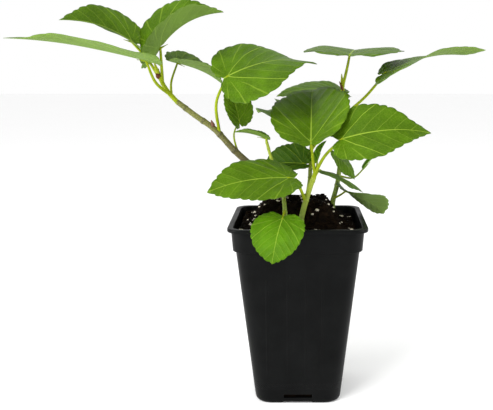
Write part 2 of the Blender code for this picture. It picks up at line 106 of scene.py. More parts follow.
# Each shoot: the points of its centre line, its radius at the foot and at the tip.
SHOOTS = {
    "left_stem": dict(
        path=[
            (-8, 4, 110),
            (-20.7, 3, 127),
            (-36.4, 1, 142.2),
            (-48.5, 0, 155.3),
            (-57.4, 0, 161.5),
            (-68, 1, 169.4),
        ],
        foot=2.2,
        tip=1.45,
        flare=1.35,
    ),
    "front_shoot": dict(
        path=[(1.2, -22, 100), (3.4, -21.6, 113), (6.6, -20.6, 123.5), (8.8, -20, 129.5)],
        foot=1.6,
        tip=1.35,
        flare=1.3,
    ),
    "right_shoot": dict(
        path=[(20.5, 18, 101.5), (23.6, 19, 120.5), (25.6, 21, 139), (26.2, 24, 157), (26.6, 28, 173)],
        foot=1.5,
        tip=1.0,
        flare=1.4,
    ),
    "front_left_shoot": dict(
        path=[
            (-6.6, -23, 99),
            (-7, -22.4, 110),
            (-8.4, -16, 121.2),
            (-12.7, -11, 132.3),
            (-15.5, -9, 141),
            (-17.3, -8, 147.6),
        ],
        foot=1.3,
        tip=0.8,
        flare=1.2,
    ),
    "rear_shoot": dict(
        path=[(6, 14, 110), (7, 17, 122), (7.5, 20, 134)],
        foot=1.5,
        tip=1.1,
        flare=1.4,
    ),
}

# Each leaf: its base where the stalk joins, its tip, and how its blade is bent. Pairs are the
# left and right half, seen from above with the tip ahead. Widths and arch are shares of length.
LEAF = dict(
    width=(0.8, 0.8),
    fold=(10, 10),
    cup=(0.0, 0.0),
    arch=0.05,
    hook=0.03,
    roll=0,
    twist=0,
    heel=0.2,
    shoulder=0.0,
)
LEAVES = {
    "left_long": dict(
        base=(-81.6, -14, 191.8),
        tip=(-151.2, -30, 204.8),
        width=(0.8, 0.45),
        fold=(6, 6),
        arch=0.02,
        hook=0.02,
        heel=0.05,
    ),
    "left_upper": dict(
        base=(-97.2, 24, 203.2),
        tip=(-134.6, 10, 216.1),
        fold=(15, 32),
        cup=(0, -0.6),
        arch=0.08,
        roll=-22,
        heel=0.1,
    ),
    "left_top": dict(
        base=(-77, 4, 199),
        tip=(-41.5, 2, 219.5),
        width=(1.0, 0.8),
        fold=(22, 50),
        arch=0.12,
        roll=38,
        twist=-20,
        heel=0.75,
    ),
    "left_rear": dict(
        base=(-70.7, 22, 191), tip=(-45.5, 38, 179), fold=(20, 26), cup=(0.1, 0.25), roll=18, heel=0.5
    ),
    "middle_top": dict(
        base=(-38.8, -6, 183.5),
        tip=(11, 8, 191.6),
        width=(0.92, 0.95),
        fold=(8, -8),
        cup=(0.1, -0.5),
        arch=0.1,
        roll=30,
        twist=-36,
        heel=0.02,
        shoulder=-0.3,
    ),
    "middle_hanging": dict(
        base=(-34.2, 12, 158),
        tip=(-41, 12, 180),
        fold=(24, 24),
        cup=(-0.3, -0.3),
        roll=-42,
        twist=-30,
        heel=0.35,
    ),
    "front_left_curled": dict(
        base=(-17.9, -8, 149.5), tip=(-35.6, -8, 153.5), width=(0.5, 0.5), fold=(30, 30)
    ),
    "centre_large": dict(
        base=(7.1, -24, 149.1),
        tip=(8.4, 26, 176.4),
        width=(0.74, 0.8),
        fold=(24, 34),
        cup=(-0.3, -0.35),
        arch=0.01,
        roll=-4,
        heel=0.0,
        shoulder=0.2,
    ),
    "right_large": dict(
        base=(23.4, -28, 151),
        tip=(71, -27, 155),
        width=(0.73, 0.73),
        fold=(9, 9),
        cup=(-0.4, -0.1),
        arch=0.09,
        roll=47,
        heel=0.02,
        shoulder=-0.4,
    ),
    "front_young": dict(
        base=(10.6, -17, 138), tip=(15.5, -13, 149), width=(0.5, 0.5), fold=(35, 35), heel=0.1
    ),
    "front_low": dict(
        base=(-4.7, -29, 130.4),
        tip=(-47.6, -38, 125.2),
        width=(0.82, 0.82),
        fold=(2, 6),
        cup=(0, -0.5),
        roll=-20,
        twist=-20,
        heel=0.15,
    ),
    "rim_leaf": dict(
        base=(-7.9, -41, 110.8),
        tip=(-13, -57.5, 90.8),
        width=(0.93, 0.98),
        fold=(5, 5),
        arch=0.09,
        roll=-7,
        heel=0.08,
        shoulder=0.6,
    ),
    "right_top": dict(
        base=(29.2, 6, 195.3),
        tip=(38, 60, 200),
        width=(0.95, 1.0),
        fold=(7, 14),
        cup=(-0.8, -0.4),
        arch=0.02,
        roll=7,
    ),
    "right_behind": dict(base=(27, 50, 173.5), tip=(-13.6, 48, 171.9), roll=-14, fold=(2, 2), arch=0.07),
    "right_far": dict(
        base=(50.3, 12, 185.6),
        tip=(103, -4, 199.5),
        fold=(-4, 2),
        cup=(0, 0.3),
        roll=22,
        twist=-34,
        heel=0.0,
        shoulder=-0.3,
    ),
    "right_inner": dict(
        base=(21, 8, 140), tip=(33.5, 8, 124.5), fold=(-6, -4), cup=(-0.2, -0.5), roll=9, twist=34, heel=0.05
    ),
    "right_narrow": dict(
        base=(12.5, -4, 131.4), tip=(38, 3, 118), width=(0.6, 0.6), fold=(-9, -11), cup=(0.4, 0.3), twist=18
    ),
    "right_low": dict(
        base=(27.6, 5.5, 117.6),
        tip=(53, 15.5, 106.4),
        arch=-0.02,
        hook=0.14,
        roll=5,
        twist=-45,
        heel=0.4,
        shoulder=0.8,
    ),
    "right_bud_leaf": dict(base=(40, 21, 129.5), tip=(47, 22, 137), width=(0.6, 0.6), fold=(25, 25)),
    "rear_left": dict(
        base=(3, 15, 132.6),
        tip=(-21.5, 27, 130),
        fold=(27, 27),
        cup=(0.1, 0.3),
        roll=-42,
        twist=-12,
        heel=0.35,
    ),
}

# Masses of foliage: the limb that carries each, the twig that grows on from the limb's tip (or
# nothing where one stalk leaves the limb's side), and the leaves with the height of each stalk's
# foot on its carrier, as a share of the way along, and one point that the stalk bends through.
MASSES = {
    "left_crown": dict(
        limb="left_stem",
        twig=[(-68.2, 1, 169.6), (-73.4, 1.6, 175.4), (-76.8, 2.6, 181), (-79.2, 4, 187.5)],
        radius=(1.4, 1.0),
        leaves={
            "left_long": (0.2, (-78, -7, 180)),
            "left_upper": (0.6, (-88, 18, 194)),
            "left_top": (0.6, (-76.6, 3.4, 190)),
            "left_rear": (0.2, (-73, 14, 181)),
        },
    ),
    "middle_top": dict(limb="left_stem", leaves={"middle_top": (0.655, (-45.2, -4, 170))}),
    "middle_hanging": dict(limb="left_stem", leaves={"middle_hanging": (0.475, (-36.8, 8, 151))}),
    "front_crown": dict(
        limb="front_shoot",
        twig=[(8.9, -20, 129.9), (9.6, -19.8, 132.4), (10.2, -19.2, 135)],
        radius=(1.35, 0.9),
        leaves={
            "centre_large": (0.25, (8.2, -21.4, 139)),
            "right_large": (0.3, (14.5, -24, 141.5)),
            "front_young": (0.9, (10.5, -18.2, 136.5)),
        },
    ),
    "front_low": dict(limb="front_shoot", leaves={"front_low": (0.55, (0, -25, 126))}),
    "front_left_crown": dict(
        limb="front_left_shoot",
        twig=[(-17.4, -8, 148), (-17.6, -8, 150.5)],
        radius=(0.8, 0.6),
        leaves={"front_left_curled": (0.5, (-17.7, -8, 149.4))},
    ),
    "rim_leaf": dict(limb="front_left_shoot", leaves={"rim_leaf": (0.2, (-7.2, -33, 113.5))}),
    "right_crown": dict(
        limb="right_shoot",
        twig=[(26.6, 28.3, 173.6), (26.8, 28.4, 178), (26.4, 28.2, 182)],
        radius=(1.0, 0.7),
        leaves={
            "right_top": (0.5, (28.4, 16, 188)),
            "right_behind": (0.15, (26.8, 40, 174)),
        },
    ),
    "right_far": dict(limb="right_shoot", leaves={"right_far": (0.8, (40, 20, 172))}),
    "right_inner": dict(limb="right_shoot", leaves={"right_inner": (0.5, (23.4, 13, 139.6))}),
    "right_narrow": dict(limb="front_shoot", leaves={"right_narrow": (0.93, (10.6, -12, 130.5))}),
    "right_low": dict(limb="right_shoot", leaves={"right_low": (0.1, (25, 11.5, 114.5))}),
    "right_bud_leaf": dict(limb="right_shoot", leaves={"right_bud_leaf": (0.3, (33, 20, 123.5))}),
    "rear_crown": dict(
        limb="rear_shoot",
        twig=[(7.5, 20.1, 134.5), (7.8, 22, 142), (8, 24, 150), (8, 26, 156)],
        radius=(1.1, 0.7),
        leaves={"rear_left": (0.05, (6, 17, 134.6))},
        grown=5,
    ),
}
STALK = (0.95, 0.62)

# The rear crown's own leaves turn round the twig by the golden angle, inside its rear half.
GROWTH_SEED = 7
GOLDEN_ANGLE = 137.5
REAR_MIDDLE = 105.0
REAR_SPREAD = 45.0
GROWN_LENGTH = (30.0, 40.0)
GROWN_STALK = (16.0, 26.0)
GROWN_DROOP = (-4.0, 8.0)


# The blade's outline: its reach from the stalk, as shares of its length, at these angles.
OUTLINE_ANGLES = np.radians((0, 12, 28, 48, 72, 100, 128, 155, 180))

# The colour of each leaf's upper side. The lighter tint is partly the leaf's own paler green and partly
# painted sheen, a glancing highlight put into the colour.
TINTS = {
    "mid": (0.054, 0.122, 0.002),
    # partly painted sheen: a lighter copy of the leaf green that stands in for glancing highlights
    "pale_and_sheen": (0.066, 0.146, 0.002),
    "dark": (0.03, 0.082, 0.002),
    "blue": (0.075, 0.145, 0.02),
    "lime": (0.066, 0.175, 0.002),
}
LOOK = {
    "left_long": "pale_and_sheen",
    "left_rear": "blue",
    "middle_hanging": "pale_and_sheen",
    "front_left_curled": "pale_and_sheen",
    "centre_large": "pale_and_sheen",
    "front_young": "lime",
    "rim_leaf": "lime",
    "right_low": "dark",
    "right_bud_leaf": "lime",
    "rear_left": "dark",
}
STALK_TINT = (0.23, 0.30, 0.008)
BARK_LOW = (0.04, 0.024, 0.007)
BARK_HIGH = (0.13, 0.14, 0.02)
SHOOT_TINT = (0.13, 0.20, 0.006)
BUD_TINT = (0.30, 0.36, 0.02)
SCALE_TINT = (0.11, 0.04, 0.015)
SOIL_TINT = (0.0055, 0.0038, 0.0024)
PERLITE_TINT = (0.62, 0.56, 0.44)

# Buds: the piece that carries each, its base and tip, its radius and its colour.
BUDS = {
    "left_tip": ("left_crown", (-78.4, 2.6, 184.0), (-80.6, 3.4, 191.5), 1.5, BUD_TINT),
    "left_tip_scale": ("left_crown", (-78.0, 2.4, 182.0), (-79.6, 3.0, 187.0), 1.75, SCALE_TINT),
    "left_node": ("left_stem", (-47.4, -0.6, 155.2), (-48.8, -1.6, 159.4), 1.5, SCALE_TINT),
    "right_tip": ("right_crown", (26.6, 28.2, 176.5), (26.0, 28.2, 185.0), 1.3, BUD_TINT),
    "right_tip_scale": ("right_crown", (26.9, 27.6, 175.0), (24.6, 27.2, 180.5), 1.0, SCALE_TINT),
}


def unit(vector):
    """The vector over its own length."""
    return vector / np.linalg.norm(vector)


def turned(vector, axis, degrees):
    """The vector turned about the axis by Rodrigues' formula."""
    angle = np.radians(degrees)
    along = axis * (axis @ vector) * (1 - np.cos(angle))
    return vector * np.cos(angle) + np.cross(axis, vector) * np.sin(angle) + along


def smooth(knots, values, at):
    """Cubic curve through the values at the knots, each slope taken from its neighbours."""
    knots = np.asarray(knots, float)
    values = np.asarray(values, float)
    slopes = np.gradient(values, knots)
    i = np.clip(np.searchsorted(knots, at, side="right") - 1, 0, len(knots) - 2)
    step = knots[i + 1] - knots[i]
    t = (at - knots[i]) / step
    ends = values[i] * (1 + 2 * t) * (1 - t) ** 2 + values[i + 1] * t * t * (3 - 2 * t)
    return ends + step * (slopes[i] * t * (1 - t) ** 2 - slopes[i + 1] * t * t * (1 - t))


def smooth_path(points, count):
    """Evenly numbered points on the smooth curve through the given ones."""
    points = np.asarray(points, float)
    reach = np.r_[0, np.cumsum(np.linalg.norm(np.diff(points, axis=0), axis=1))]
    at = np.linspace(0, reach[-1], count)
    return np.stack([smooth(reach, points[:, i], at) for i in range(3)], axis=1)


def ripple(points, size, seed, waves=24):
    """Smooth noise in -1 to 1: a sum of plane waves of random heading and phase, near that wavelength."""
    rng = np.random.default_rng(seed)
    heading = rng.normal(size=(waves, 3))
    heading /= np.linalg.norm(heading, axis=1)[:, None]
    pace = 2 * np.pi / size * rng.uniform(0.6, 1.6, waves)
    phase = rng.uniform(0, 2 * np.pi, waves)
    total = np.zeros(points.shape[:-1])
    for way, speed, start in zip(heading, pace, phase):
        total += np.sin(points @ way * speed + start)
    return total / np.sqrt(waves * 2)


class Joined:
    """One object gathered from closed shells, each a grid of points wrapped round and capped at both ends."""

    def __init__(self, name):
        self.name = name
        self.points = []
        self.faces = []
        self.place = []
        self.tint = []
        self.kind = []
        self.corners = []
        self.count = 0
        self.cells = 0

    def shell(self, grid, tint, place=None, kind=0.0, flat=None):
        """Adds the rows of the grid as a shell. Its first and last row close onto their own middle."""
        rows, around = grid.shape[:2]
        ends = np.stack([grid[0].mean(axis=0), grid[-1].mean(axis=0)])
        first = self.count
        index = first + np.arange(rows * around).reshape(rows, around)
        right = np.roll(index, -1, axis=1)
        quads = np.stack([index[:-1], right[:-1], right[1:], index[1:]], axis=-1).reshape(-1, 4)
        low, high = first + rows * around, first + rows * around + 1
        caps = [(low, b, a) for a, b in zip(index[0], right[0])]
        caps += [(high, a, b) for a, b in zip(index[-1], right[-1])]
        self.points.append(np.concatenate([grid.reshape(-1, 3), ends]))
        self.faces += quads.tolist() + caps
        self.count += rows * around + 2
        total = rows * around + 2
        self.tint.append(self.spread(tint, total, 3, rows, around))
        self.place.append(self.spread(np.zeros(3) if place is None else place, total, 3, rows, around))
        self.kind.append(self.spread(kind, total, 1, rows, around))
        self.corners.append(self.unwrapped(rows, around, flat))

    @staticmethod
    def spread(value, total, width, rows, around):
        """The value at every point: one for all, or one for each point with its ends averaged."""
        value = np.asarray(value, float)
        if value.size == width:
            return np.tile(value.reshape(1, width), (total, 1))
        value = value.reshape(rows, around, width)
        ends = np.stack([value[0].mean(axis=0), value[-1].mean(axis=0)])
        return np.concatenate([value.reshape(-1, width), ends])

    def unwrapped(self, rows, around, flat):
        """Every face corner's place in this shell's own cell or, for a blade, in two cells side by side."""
        column = np.arange(around + 1) / around
        if flat is None:
            row = np.linspace(0.02, 0.98, rows)
            u, v = np.broadcast_arrays(column[None, :], row[:, None])
            here = np.stack([u, v], axis=-1)
            tips = np.array([[0.0, 0.0], [0.0, 1.0]])
        else:
            here = np.concatenate([flat, flat[:, :1]], axis=1)
            tips = np.stack([here[0].mean(axis=0), here[-1].mean(axis=0)])
        quads = np.stack([here[:-1, :-1], here[:-1, 1:], here[1:, 1:], here[1:, :-1]], axis=2)
        if flat is not None:
            half = rows // 2 - 1
            quads[half] = quads[half][:, [0, 1, 1, 0]]
        caps = []
        for tip, row, order in ((0, 0, (1, 0)), (1, -1, (0, 1))):
            pair = np.stack([here[row, :-1], here[row, 1:]], axis=1)[:, order]
            middle = np.repeat(tips[tip][None, None], around, axis=0)
            if flat is None:
                middle[:, 0, 0] = pair[:, :, 0].mean(axis=1)
            caps.append(np.concatenate([middle, pair], axis=1).reshape(-1, 2))
        cell = self.cells
        self.cells += 1
        return cell, quads.reshape(-1, 2), np.concatenate(caps)

    def finish(self, node, material):
        mesh = bpy.data.meshes.new(self.name)
        points = np.concatenate(self.points) * MM
        mesh.from_pydata(points.tolist(), [], self.faces)
        across = int(np.ceil(np.sqrt(self.cells)))
        corners = []
        for cell, quads, caps in self.corners:
            corner = np.array([cell % across, cell // across])
            corners.append((np.concatenate([quads, caps]) * 0.96 + 0.02 + corner) / across)
        layer = mesh.uv_layers.new(name="OFBake")
        layer.data.foreach_set("uv", np.concatenate(corners).ravel())
        place = mesh.attributes.new("place", "FLOAT_VECTOR", "POINT")
        place.data.foreach_set("vector", np.concatenate(self.place).ravel())
        tint = mesh.attributes.new("tint", "FLOAT_COLOR", "POINT")
        colour = np.concatenate(self.tint)
        tint.data.foreach_set("color", np.c_[colour, np.ones(len(colour))].ravel())
        kind = mesh.attributes.new("kind", "FLOAT", "POINT")
        kind.data.foreach_set("value", np.concatenate(self.kind).ravel())
        mesh.polygons.foreach_set("use_smooth", np.ones(len(mesh.polygons), bool))
        mesh.materials.append(material)
        made = bpy.data.objects.new(self.name, mesh)
        bpy.context.scene.collection.objects.link(made)
        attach(made, "root")
        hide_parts(node)
        return made


def frames(line):
    """Two square directions at every point of the line, carried along it without twisting."""
    along = np.gradient(line, axis=0)
    along /= np.linalg.norm(along, axis=1)[:, None]
    side = np.zeros_like(line)
    last = unit(np.cross(along[0], (0.31, 0.9, 0.2)))
    for i, way in enumerate(along):
        last = unit(last - way * (last @ way))
        side[i] = last
    return side, np.cross(along, side)


def tube(line, radii, around, rough=0.0, seed=0, ridge=0.0):
    """Grid round the line: its radius times one plus small noise and long ridges."""
    side, other = frames(line)
    angle = np.linspace(0, 2 * np.pi, around, endpoint=False)
    ring = side[:, None] * np.cos(angle)[:, None] + other[:, None] * np.sin(angle)[:, None]
    radii = np.asarray(radii)[:, None]
    noise = ripple(line[:, None] * (1, 1, 0.45) + ring * 3, 2.6, seed) * rough
    long = ridge * np.cos(5 * angle + 0.05 * np.arange(len(line))[:, None])
    return line[:, None] + ring * (radii * (1 + long) + noise)[:, :, None]


def rounded_square(side, corner, height, straight, arc):
    """One ring of points: a square of that side whose corners are arcs of that radius."""
    ring = []
    inset = side / 2 - corner
    for quarter in range(4):
        turn = quarter * np.pi / 2 + np.linspace(0, np.pi / 2, arc, endpoint=False)
        low = turn[0]
        corner_at = inset * np.array([np.cos(low) - np.sin(low), np.sin(low) + np.cos(low)])
        ring.append(corner_at + corner * np.stack([np.cos(turn), np.sin(turn)], axis=1))
        end = low + np.pi / 2
        start = corner_at + corner * np.array([np.cos(end), np.sin(end)])
        reach = 2 * inset * np.array([-np.cos(low), -np.sin(low)])
        share = np.linspace(0, 1, straight, endpoint=False)[:, None]
        ring.append(start + reach * share)
    flat = np.concatenate(ring)
    return np.c_[flat, np.full(len(flat), height)]


def wall_side(height):
    """The tapering wall's outer side at that height."""
    top = POT_HEIGHT - POT_LIP_HEIGHT - POT_COLLAR_HEIGHT
    return POT_BASE_SIDE + (POT_WALL_TOP_SIDE - POT_BASE_SIDE) * min(height / top, 1)


def pot_corner(height):
    """The corner's radius, changing evenly from the base to the top."""
    return POT_CORNER_BASE + (POT_CORNER_TOP - POT_CORNER_BASE) * height / POT_HEIGHT


def softened(profile, rounds):
    """The profile with each corner cut by a quarter from both sides, that many times over."""
    for _ in range(rounds):
        near = profile[:-1] * 0.75 + profile[1:] * 0.25
        far = profile[:-1] * 0.25 + profile[1:] * 0.75
        middle = np.stack([near, far], axis=1).reshape(-1, profile.shape[1])
        profile = np.concatenate([profile[:1], middle, profile[-1:]])
    return profile


def pot_profile():
    """Height, side and inset of the pot from its underside, up the outside, over the lip and down inside."""
    step = POT_HEIGHT - POT_LIP_HEIGHT - POT_COLLAR_HEIGHT
    lip_low = POT_HEIGHT - POT_LIP_HEIGHT
    inner = 2 * POT_WALL
    rows = [(0, POT_BASE_SIDE * 0.5, 0), (0, POT_BASE_SIDE - 5, 0), (0, POT_BASE_SIDE - 1.6, 0)]
    rows += [(POT_FOOT_EDGE, wall_side(POT_FOOT_EDGE), 0)]
    rows += [(z, wall_side(z), 0) for z in np.linspace(4, step - 1.2, 10)]
    rows += [(step - 0.5, POT_WALL_TOP_SIDE, 0), (step, POT_WALL_TOP_SIDE, 0)]
    rows += [(step, POT_COLLAR_LOW_SIDE - 0.8, 0)]
    rows += [(step, POT_COLLAR_LOW_SIDE, 0), (step + 0.9, POT_COLLAR_LOW_SIDE + 0.1, 0)]
    rows += [(lip_low - 0.6, POT_COLLAR_HIGH_SIDE, 0), (lip_low, POT_COLLAR_HIGH_SIDE, 0)]
    rows += [(lip_low, POT_LIP_SIDE - 0.9, 0), (lip_low + 0.2, POT_LIP_SIDE, 0)]
    rows += [(POT_HEIGHT - 0.4, POT_LIP_SIDE, 0)]
    rows += [(POT_HEIGHT, POT_LIP_SIDE - 0.5, 0), (POT_HEIGHT, POT_COLLAR_HIGH_SIDE - inner + 0.8, 1)]
    rows += [(POT_HEIGHT - 0.5, POT_COLLAR_HIGH_SIDE - inner, 1), (step + 1, POT_COLLAR_LOW_SIDE - inner, 1)]
    rows += [(step, POT_WALL_TOP_SIDE - inner, 1), (step - 1, POT_WALL_TOP_SIDE - inner, 1)]
    rows += [(POT_FLOOR, wall_side(POT_FLOOR) - inner, 1), (POT_FLOOR, POT_BASE_SIDE * 0.5, 1)]
    return softened(np.array(rows, float), 3)


def cutting_box(low, high):
    """A box between two corners, from the cube primitive."""
    bpy.ops.mesh.primitive_cube_add(size=MM)
    made = bpy.context.object
    made.scale = np.subtract(high, low)
    made.location = np.add(high, low) / 2 * MM
    return made


def make_pot(material):
    """The lofted pot, with its four drainage slots and four foot recesses cut out."""
    pot = Joined("pot_shell")
    rows = []
    for height, side, inner in pot_profile():
        corner = max(pot_corner(height) - inner * POT_WALL, 2) * min(1, side / POT_BASE_SIDE)
        rows.append(rounded_square(side, corner, height, 20, 12))
    pot.shell(np.array(rows), (0.013, 0.014, 0.016))
    made = pot.finish("pot", material)
    half = POT_BASE_SIDE / 2
    for x, y in ((0, -1), (1, 0), (0, 1), (-1, 0)):
        for width, reach, low, high in (
            (SLOT_WIDTH, 4.0, SLOT_LOW, SLOT_HIGH),
            (ARCH_WIDTH, ARCH_DEPTH, -1.0, ARCH_HEIGHT),
        ):
            spread = np.array([width / 2 if x == 0 else 0, width / 2 if y == 0 else 0])
            way = np.array([x, y])
            ends = np.array([(half - reach) * way, (half + 3) * way])
            near = (*(ends.min(axis=0) - spread), low)
            far = (*(ends.max(axis=0) + spread), high)
            cutter = cutting_box(near, far)
            cut = made.modifiers.new("cut", "BOOLEAN")
            cut.operation = "DIFFERENCE"
            cut.object = cutter
            cut.solver = "EXACT"
            bpy.context.view_layer.objects.active = made
            bpy.ops.object.modifier_apply(modifier=cut.name)
            bpy.data.objects.remove(cutter)


def mound(x, y):
    """Height of the mix: level by the wall, rising to the planted plug, with clods."""
    half = POT_WALL_TOP_SIDE / 2 - POT_WALL
    share = np.maximum(np.abs(x - MOUND_CENTRE[0]), np.abs(y - MOUND_CENTRE[1])) / half
    plain = SOIL_EDGE + SOIL_RISE * np.interp(share, MOUND_SHARES, MOUND_RISES)
    flat = np.stack([x, y, np.zeros_like(x)], axis=-1)
    return plain - 0.7 + 0.9 * ripple(flat, 9, 3) + 0.4 * ripple(flat, 3.2, 4) + 0.2 * ripple(flat, 1.3, 5)


def lump(centre, size, seed, rows=5, around=8):
    """A small rough stone: a sphere of latitude rows with its radius shaken."""
    rng = np.random.default_rng(seed)
    rise = np.linspace(-1, 1, rows + 2)[1:-1]
    angle = np.linspace(0, 2 * np.pi, around, endpoint=False) + rng.uniform(0, 6)
    level = np.sqrt(1 - rise**2)[:, None]
    up = np.repeat(rise[:, None], around, 1)
    ball = np.stack([level * np.cos(angle), level * np.sin(angle), up], axis=-1)
    ball *= rng.uniform(0.7, 1.25, (rows, around, 1))
    return centre + ball * size * rng.uniform((0.7, 0.7, 0.5), (1.3, 1.3, 1.0))


def make_soil(material):
    """The mix's surface as rings from the wall to the middle, with crumbs and pale grains sprayed over it."""
    soil = Joined("soil_mix")
    step = POT_HEIGHT - POT_LIP_HEIGHT - POT_COLLAR_HEIGHT
    low = POT_FLOOR + GAP
    clear = 2 * (POT_WALL + GAP)
    rows = [rounded_square(wall_side(low) - clear, pot_corner(low) - POT_WALL, low, 56, 9)]
    rows.append(rounded_square(POT_WALL_TOP_SIDE - clear, pot_corner(step) - POT_WALL, step, 56, 9))
    for share in np.linspace(1, 0.01, 90):
        ring = rounded_square((POT_WALL_TOP_SIDE - clear) * share, 6.5 * share, 0, 56, 9)
        ring[:, 2] = mound(ring[:, 0], ring[:, 1])
        rows.append(ring)
    soil.shell(np.array(rows), SOIL_TINT)
    rng = np.random.default_rng(11)
    half = POT_WALL_TOP_SIDE / 2 - POT_WALL - 1.2
    for i in range(CRUMBS + PERLITE):
        x, y = rng.uniform(-half, half, 2)
        height = mound(np.array(x), np.array(y))
        pale = i >= CRUMBS
        size = rng.uniform(0.6, 1.2) if pale else rng.uniform(0.25, 0.9)
        tint = np.array(PERLITE_TINT if pale else SOIL_TINT) * rng.uniform(0.6, 1.25)
        soil.shell(lump((x, y, height + 0.15 * size), size, i, 3, 6), tint, kind=float(pale))
    soil.finish("soil", material)


def foot_height(shoot):
    """A shoot starts a little way down in the mix, under the plain height of its surface."""
    x, y, _ = shoot["path"][0]
    half = POT_WALL_TOP_SIDE / 2 - POT_WALL
    share = max(abs(x - MOUND_CENTRE[0]), abs(y - MOUND_CENTRE[1])) / half
    return SOIL_EDGE + SOIL_RISE * float(np.interp(share, MOUND_SHARES, MOUND_RISES)) - SOCKET_DEPTH


def shoot_line(shoot, count):
    """The shoot's centre line: it leaves its foot upright, then follows its path."""
    x, y, _ = shoot["path"][0]
    foot = foot_height(shoot)
    return smooth_path([(x, y, foot), (x, y, foot + 2.2)] + shoot["path"][1:], count)


def shoot_radii(shoot, count):
    """Even taper from foot to tip, with the root flare over the first tenth."""
    share = np.linspace(0, 1, count)
    plain = shoot["foot"] + (shoot["tip"] - shoot["foot"]) * share
    return plain * (1 + (shoot["flare"] - 1) * np.exp(-share / 0.05))


def make_shoot(name, shoot, material):
    """A shoot with long ridges, fine bark noise and a swollen ring at each old leaf's foot."""
    count = SHOOT_ROWS
    line = shoot_line(shoot, count)
    share = np.linspace(0, 1, count)
    radii = shoot_radii(shoot, count)
    knots = np.linspace(0.22, 0.93, 6 if name == "left_stem" else 3)
    for knot in knots:
        radii = radii * (1 + 0.16 * np.exp(-(((share - knot) / 0.012) ** 2)))
    old = name == "left_stem"
    grid = tube(line, radii, SHOOT_SIDES, 0.07 if old else 0.025, len(name), 0.03)
    low, high = (BARK_LOW, BARK_HIGH) if old else (SHOOT_TINT, STALK_TINT)
    blend = np.clip((share - 0.25) / 0.6, 0, 1)[:, None, None]
    tint = np.array(low) * (1 - blend) + np.array(high) * blend
    scar = sum(np.exp(-(((share - knot) / 0.008) ** 2)) for knot in knots)[:, None, None]
    tint = np.repeat(tint * (1 - 0.45 * scar * old), SHOOT_SIDES, axis=1)
    along, round_it = np.broadcast_arrays(share[:, None], np.arange(SHOOT_SIDES) / SHOOT_SIDES)
    piece = Joined(name + "_bark")
    piece.shell(grid, tint, np.stack([along, round_it, np.zeros_like(along)], axis=-1))
    add_buds(piece, name)
    piece.finish(name, material)


def add_buds(piece, carrier):
    """Pointed buds: a spindle whose radius swells early and runs out to its tip."""
    for name, (where, base, tip, radius, tint) in BUDS.items():
        if where != carrier:
            continue
        share = np.linspace(0, 1, 24)
        line = np.array(base) + share[:, None] * (np.array(tip) - base)
        swell = radius * np.sqrt(np.clip(share * 3, 0, 1)) * (1 - share) ** 0.7 + 0.06
        piece.shell(tube(line, swell, 20, 0.04, len(name)), tint, (0, 0, 0), 2.0)


def outline(leaf, angle):
    """The blade's reach at each angle from its midrib, as a share of its length."""
    heel = leaf["heel"]
    full = leaf["shoulder"]
    reach = (
        1.0,
        0.88 + 0.1 * full,
        0.78 + 0.12 * full,
        0.69 + 0.06 * full,
        0.57,
        0.36 + 0.17 * heel,
        0.17 + 0.29 * heel,
        0.07 + 0.29 * heel,
        0.03 + 0.07 * heel,
    )
    return smooth(OUTLINE_ANGLES, reach, np.abs(angle))


def bend(leaf, x, y):
    """Places flat blade points: an arched midrib, halves folded up from it and cupped, and a twist."""
    base = np.array(leaf["base"], float)
    axis = np.array(leaf["tip"], float) - base
    length = np.linalg.norm(axis)
    axis /= length
    up = turned(unit(np.array([0, 0, 1.0]) - axis * axis[2]), axis, leaf["roll"])
    side = np.cross(axis, up)
    share = y / length
    far = np.maximum(share - 0.45, 0) / 0.55
    lift = 4 * leaf["arch"] * share * (1 - share) - leaf["hook"] * far**2
    centre = base + np.outer(y, axis) + np.outer(lift * length, up)
    slope = 4 * leaf["arch"] * (1 - 2 * share) - leaf["hook"] * 2 * far / 0.55
    normal = up - np.outer(slope, axis)
    normal /= np.linalg.norm(normal, axis=1)[:, None]
    twist = np.radians(leaf["twist"] * share)[:, None]
    across = side * np.cos(twist) - normal * np.sin(twist)
    normal = normal * np.cos(twist) + side * np.sin(twist)
    fold = np.radians(np.where(x >= 0, leaf["fold"][1], leaf["fold"][0]))
    cup = np.where(x >= 0, leaf["cup"][1], leaf["cup"][0]) + 1e-6
    turn = fold + cup * np.abs(x) / length
    out = length / cup * (np.sin(turn) - np.sin(fold)) * np.sign(x)
    rise = length / cup * (np.cos(fold) - np.cos(turn))
    return centre + across * out[:, None] + normal * rise[:, None], normal


